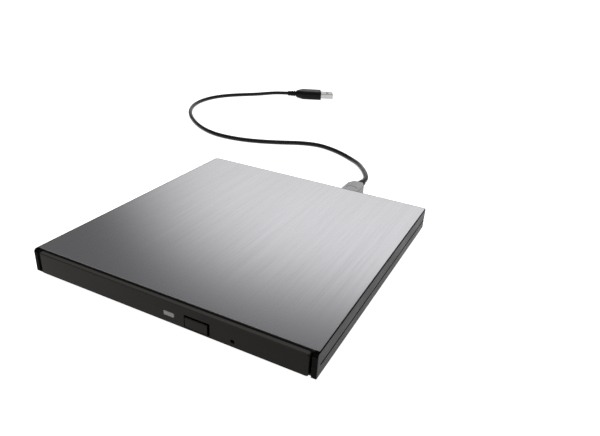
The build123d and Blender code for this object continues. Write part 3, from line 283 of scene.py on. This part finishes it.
def bezel_black():
    """Black satin moulding of the bezel and its button, with painted light on its tops and painted shade on
    the walls in the gaps.
    """
    finish = Finish("bezel_black", specular_tint=(1.0, 0.90, 0.78))
    worn, painted_top_light, painted_gap_shade = (0.010, 0.009, 0.008), (0.030, 0.028, 0.026), (0.0005, 0.0005, 0.0005)
    body = finish.drift(22.0, (0.0042, 0.0035, 0.0029), (0.0056, 0.0046, 0.0038))
    body = finish.blend(finish.edges(0.2), body, worn)
    # Painted light: faces that look up are paler, as if lit from above.
    on_top = finish.spread(finish.facing_up(), 0.5, 0.9)
    body = finish.blend(on_top, body, painted_top_light)

    # Painted shade: the gaps, whatever lies behind the bezel's face round the height of the button, are
    # painted near-black with no gloss.
    behind_face = finish.ramp("Y", -68.35, -68.15)
    gap_low, gap_high = 2.9, 9.4
    in_gap = finish.maths("MULTIPLY", behind_face, finish.between("Z", gap_low, gap_high, soft=0.2))
    finish.set("Base Color", finish.blend(in_gap, body, painted_gap_shade))
    finish.set("Specular IOR Level", finish.spread(in_gap, 0.0, 1.0, 0.085, 0.0))
    finish.smear((11.0, 11.0, 5.0), 0.25, 0.37)
    finish.grained(0.3, 0.002)
    return finish.material


def circuit_board():
    """Green solder mask over copper tracks, with a sprinkle of tinned holes."""
    finish = Finish("circuit_board", roughness=0.32, coat_weight=0.3, coat_roughness=0.2)
    hole_pitch, track_pitch = 2.6, 1.1
    grid = {"Vector": finish.scaled((hole_pitch,) * 3), "Scale": 1.0, "Randomness": 0.0}
    holes = finish.node("TexVoronoi", grid, distance="CHEBYCHEV", feature="F1")
    wave = {"Vector": finish.scaled((track_pitch,) * 3), "Scale": 1.0, "Distortion": 0.0}
    stripes = finish.node("TexWave", wave, wave_type="BANDS", bands_direction="DIAGONAL")
    track = finish.spread(stripes.outputs["Fac"], 0.55, 0.62)
    board = finish.blend(track, (0.008, 0.085, 0.035), (0.016, 0.16, 0.062))
    pads = finish.spread(holes.outputs["Distance"], 0.16, 0.13)
    finish.set("Base Color", finish.blend(pads, board, (0.60, 0.58, 0.52)))
    finish.set("Metallic", pads)
    finish.raised(finish.maths("ADD", track, pads), 0.02)
    return finish.material


PLASTICS = {
    "foot_rubber": dict(colour=(0.022, 0.022, 0.022), roughness=0.78, specular=0.3,
                        grain=0.6, depth=0.02, wear=1.6),
    "rail_plastic": dict(colour=(0.03, 0.03, 0.032), roughness=0.42, specular=0.5,
                         grain=0.3, depth=0.004, wear=1.6),
    "chip_black": dict(colour=(0.02, 0.02, 0.021), roughness=0.55, specular=0.4,
                       grain=0.12, depth=0.006, wear=2.0),
    "connector_black": dict(colour=(0.025, 0.025, 0.026), roughness=0.45, specular=0.5,
                            grain=0.2, depth=0.004, wear=1.8),
    "flex_film": dict(colour=(0.60, 0.55, 0.42), roughness=0.30, specular=0.5,
                      grain=0.8, depth=0.003, wear=1.1),
    "tray_plastic": dict(colour=(0.014, 0.014, 0.015), roughness=0.46, specular=0.35,
                         grain=0.3, depth=0.010, wear=2.0),
    "hub_plastic": dict(colour=(0.035, 0.035, 0.037), roughness=0.36, specular=0.5,
                        grain=0.2, depth=0.003, wear=2.0),
    "ring_rubber": dict(colour=(0.016, 0.016, 0.017), roughness=0.8, specular=0.3,
                        grain=0.4, depth=0.02, wear=1.4),
    "claw_plastic": dict(colour=(0.52, 0.505, 0.46), roughness=0.42, specular=0.5,
                         grain=0.4, depth=0.004, wear=1.15, subsurface_weight=0.1),
    "plug_grey": dict(colour=(0.190, 0.190, 0.193), roughness=0.42, specular=0.4,
                      grain=0.22, depth=0.006, wear=1.5),
    "plug_black": dict(colour=(0.003, 0.003, 0.0031), roughness=0.40, specular=0.12,
                       grain=0.22, depth=0.006, wear=1.8),
    "cord_jacket": dict(colour=(0.0038, 0.0038, 0.0039), roughness=0.34, specular=0.22,
                        grain=0.5, depth=0.006, wear=1.0),
    "tongue_white": dict(colour=(0.56, 0.56, 0.545), roughness=0.40, specular=0.5,
                         grain=0.3, depth=0.003, wear=1.1),
}

METALS = {
    "black_screw": dict(colour=(0.05, 0.05, 0.055), roughness=0.45, grain=0.3, depth=0.004, tarnish=0.1),
    "sheet_steel": dict(colour=(0.31, 0.313, 0.32), roughness=0.36, grain=(0.2, 2.4, 0.2), depth=0.002,
                        tarnish=0.16),
    "bright_steel": dict(colour=(0.74, 0.74, 0.75), roughness=0.16, grain=(0.2, 0.5, 0.2), depth=0.001,
                         tarnish=0.06),
    "slide_steel": dict(colour=(0.56, 0.57, 0.58), roughness=0.30, grain=(0.1, 6.0, 0.1), depth=0.003,
                        tarnish=0.18),
    "plated_shell": dict(colour=(0.42, 0.42, 0.415), roughness=0.24, grain=(0.15, 1.2, 0.15), depth=0.001,
                         tarnish=0.08),
    "motor_core": dict(colour=(0.28, 0.24, 0.20), roughness=0.5, grain=0.4, depth=0.02, tarnish=0.3),
    "motor_case": dict(colour=(0.62, 0.62, 0.62), roughness=0.26, grain=(0.1, 0.1, 2.0), depth=0.002,
                       tarnish=0.08),
    "sled_metal": dict(colour=(0.42, 0.42, 0.43), roughness=0.48, grain=0.35, depth=0.012, tarnish=0.2),
}

OPTICS = {
    "light_window": dict(colour=(0.21, 0.21, 0.20), roughness=0.4, transmission=0.2, ior=1.4),
    "lens_glass": dict(colour=(0.62, 0.66, 0.90), roughness=0.04, transmission=0.8, ior=1.50,
                       coat_weight=0.8, coat_tint=(0.62, 0.50, 0.95)),
}

MATERIALS = {
    "brushed_lid": brushed_lid(),
    "case_shell": case_shell(),
    "bezel_black": bezel_black(),
    "circuit_board": circuit_board(),
}
for make_material, kinds in ((moulded, PLASTICS), (sheet_metal, METALS), (optics, OPTICS)):
    for slot_name, looks in kinds.items():
        MATERIALS[slot_name] = make_material(slot_name, **looks)


def dress_frame():
    """Every CAD node takes the procedural material of its slot in the record."""
    for part in frame["record"]["subparts"]:
        data = NODES[part["node"]].data
        data.materials.clear()
        data.materials.append(MATERIALS[part["material_slot"]])


# ------------------------------------------------------------------ spring and lead screw
def rings_mesh(name, rings):
    """A closed, smooth-shaded mesh over a row of rings that all have the same number of points."""
    size = len(rings[0])
    points = [tuple(point) for ring in rings for point in ring]
    faces = []
    for row in range(len(rings) - 1):
        near, far = row * size, (row + 1) * size
        for side in range(size):
            after = (side + 1) % size
            faces.append((near + side, near + after, far + after, far + side))
    faces.append(tuple(reversed(range(size))))
    faces.append(tuple(range(len(points) - size, len(points))))

    data = bpy.data.meshes.new(name)
    data.from_pydata(points, [], faces)
    mesh = bmesh.new()
    mesh.from_mesh(data)
    bmesh.ops.recalc_face_normals(mesh, faces=mesh.faces)
    mesh.to_mesh(data)
    mesh.free()
    data.polygons.foreach_set("use_smooth", [True] * len(data.polygons))
    made = bpy.data.objects.new(name, data)
    bpy.context.scene.collection.objects.link(made)
    return made


def make_eject_spring():
    """Coil spring round the eject plunger, between the tray and the head, built as one fixed mesh."""
    axis_x, axis_z, start_y, end_y = -53.0, 5.6, 40.3, 57.2
    coil_r, wire_r, turns, steps, sides = 1.4, 0.17, 13, 20, 8
    rings = []
    for step in range(turns * steps + 1):
        angle = 2 * math.pi * step / steps
        share = step / (turns * steps)
        outward = Vector((math.cos(angle), 0.0, math.sin(angle)))
        centre = Vector((axis_x, start_y + (end_y - start_y) * share, axis_z)) + outward * coil_r
        ring = []
        for side in range(sides):
            turn = 2 * math.pi * side / sides
            along = Vector((0.0, wire_r * math.sin(turn), 0.0))
            ring.append((centre + outward * wire_r * math.cos(turn) + along) * MM)
        rings.append(ring)
    spring = rings_mesh("eject_spring_wire", rings)
    spring.data.materials.append(MATERIALS["bright_steel"])
    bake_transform(spring)
    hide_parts("eject_spring")


def make_lead_screw():
    """The pickup's lead screw, set at 45 degrees, with its coarse round-bottomed thread."""
    diagonal = math.sqrt(0.5)
    along = Vector((-diagonal, -diagonal, 0.0))
    sideways = Vector((diagonal, -diagonal, 0.0))
    up = Vector((0.0, 0.0, 1.0))
    under_disc_centre = Vector((0.0, -5.0, 5.6))
    aside = -15.6
    origin = under_disc_centre + sideways * aside
    radius, pitch, depth = 0.79, 3.0, 0.2
    start, thread_start, thread_end, end = -0.6, 3.5, 58.0, 62.8
    step, sides = 0.12, 24
    land = 0.55                          # the thread's groove begins where its wave passes this height
    rings = []
    for row in range(int((end - start) / step) + 1):
        u = start + row * step
        ring = []
        for side in range(sides):
            angle = 2 * math.pi * side / sides
            phase = (u / pitch + angle / (2 * math.pi)) % 1.0
            groove = max(0.0, math.cos(2 * math.pi * (phase - 0.5)) - land) / (1.0 - land)
            r = radius - depth * groove if thread_start < u < thread_end else radius
            outward = sideways * r * math.cos(angle) + up * r * math.sin(angle)
            ring.append((origin + along * u + outward) * MM)
        rings.append(ring)
    screw = rings_mesh("lead_screw_thread", rings)
    screw.data.materials.append(MATERIALS["bright_steel"])
    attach(screw, "screw")
    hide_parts("lead_screw")


# ------------------------------------------------------------------ lead
def make_lead():
    """The jacketed cord as one smooth line with a round section."""
    data = bpy.data.curves.new("lead_jacket", "CURVE")
    data.dimensions = "3D"
    spline = data.splines.new("NURBS")
    spline.points.add(len(CORD_ROUTE_MM) - 1)
    for point, (x, y, z) in zip(spline.points, CORD_ROUTE_MM):
        point.co = (x * MM, y * MM, z * MM, 1.0)
    spline.order_u = 3
    spline.use_endpoint_u = True
    spline.resolution_u = 10
    data.bevel_depth = CORD_D / 2
    data.bevel_resolution = 6
    data.use_fill_caps = True
    lead = bpy.data.objects.new("lead_jacket", data)
    bpy.context.scene.collection.objects.link(lead)
    data.materials.append(MATERIALS["cord_jacket"])
    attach(lead, "usb_lead")
    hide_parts("lead_cord")


# ------------------------------------------------------------------ studio
def make_camera():
    """The camera stands to the right of the front, a little above the drive, rolled slightly."""
    azimuth, elevation, roll = (math.radians(angle) for angle in (25.189, 26.244, 3.55))
    stand = (0.12132, -0.204084, 0.136092)
    lens_mm, sensor_mm, nearest = 33.068, 36.0, 0.01
    back = Vector((math.sin(azimuth) * math.cos(elevation), -math.cos(azimuth) * math.cos(elevation),
                   math.sin(elevation)))
    level = (-back).cross(Vector((0, 0, 1))).normalized()
    upright = back.cross(level)
    right = level * math.cos(roll) + upright * math.sin(roll)
    up = upright * math.cos(roll) - level * math.sin(roll)
    data = bpy.data.cameras.new("camera")
    data.lens = lens_mm
    data.sensor_width = sensor_mm
    data.clip_start = nearest
    camera = bpy.data.objects.new("camera", data)
    turn = Matrix((right, up, back)).transposed().to_4x4()
    camera.matrix_world = Matrix.Translation(stand) @ turn
    bpy.context.scene.collection.objects.link(camera)
    bpy.context.scene.camera = camera


def make_floor():
    """A pale table top that runs out past every view, and glows so that nothing on it is in the dark."""
    half, glow_strength = 6.0, 0.98
    mesh = bpy.data.meshes.new("floor")
    mesh.from_pydata([(-half, -half, 0), (half, -half, 0), (half, half, 0), (-half, half, 0)], [],
                     [(0, 1, 2, 3)])
    floor = bpy.data.objects.new("floor", mesh)
    bpy.context.scene.collection.objects.link(floor)
    finish = Finish("floor", roughness=0.7, specular_ior_level=0.1, emission_color=(1.0, 1.0, 1.0),
                    emission_strength=glow_strength)
    tone = finish.spread(finish.noise(40.0, detail=2.0), 0.3, 0.7)
    finish.set("Base Color", finish.blend(tone, (0.30, 0.30, 0.30), (0.32, 0.32, 0.32)))
    mesh.materials.append(finish.material)


def hang_softbox():
    """A large softbox over the table, kept out of reflections so that it leaves no highlight."""
    side, height, watts = 2.4, 2.2, 73.0
    light = bpy.data.lights.new("softbox", "AREA")
    light.shape = "SQUARE"
    light.size = side
    light.energy = watts
    softbox = bpy.data.objects.new("softbox", light)
    softbox.location = (0.0, 0.0, height)
    softbox.visible_glossy = False
    bpy.context.scene.collection.objects.link(softbox)


def direction(heading, elevation):
    """Unit vector towards a heading (degrees from +y towards +x) and an elevation."""
    heading, elevation = math.radians(heading), math.radians(elevation)
    return (math.sin(heading) * math.cos(elevation), math.cos(heading) * math.cos(elevation),
            math.sin(elevation))


def patch(sky, centre, full, gone, strength):
    """A round patch of sky, at full strength out to one angle from its centre and gone at the next."""
    towards = sky.node("TexCoord").outputs["Generated"]
    near = sky.node("VectorMath", {0: towards, 1: centre}, operation="DOT_PRODUCT").outputs["Value"]
    outer, inner = math.cos(math.radians(gone)), math.cos(math.radians(full))
    return sky.spread(near, outer, inner, 0.0, strength, interpolation_type="SMOOTHSTEP")


def light_studio():
    """Even grey light, a faint glow overhead, and a window low behind the drive, a little to its left."""
    world = bpy.data.worlds.new("studio")
    world.use_nodes = True
    sky = Nodes(world.node_tree)
    even_light = 0.19
    overhead = patch(sky, (0.0, 0.0, 1.0), full=22.0, gone=31.0, strength=0.65)
    window = patch(sky, direction(-17.5, 8.0), full=20.0, gone=34.5, strength=1.14)

    # The window is a third dimmer low down, and dimmer still towards its top.
    low_down = patch(sky, (0.0, 0.0, -1.0), full=105.0, gone=119.0, strength=0.33)
    high_up = patch(sky, direction(-90.0, 82.0), full=48.0, gone=57.0, strength=0.74)
    for shade in (low_down, high_up):
        window = sky.maths("MULTIPLY", window, sky.maths("SUBTRACT", 1.0, shade))

    light = sky.maths("ADD", sky.maths("ADD", overhead, window), even_light)
    background = world.node_tree.nodes["Background"]
    sky.feed(background.inputs["Color"], (1.0, 1.0, 1.0))
    sky.feed(background.inputs["Strength"], light)
    bpy.context.scene.world = world
    bpy.context.scene.view_settings.view_transform = "Standard"


make_camera()
make_lead()
make_eject_spring()
make_lead_screw()
dress_frame()
make_floor()
hang_softbox()
light_studio()
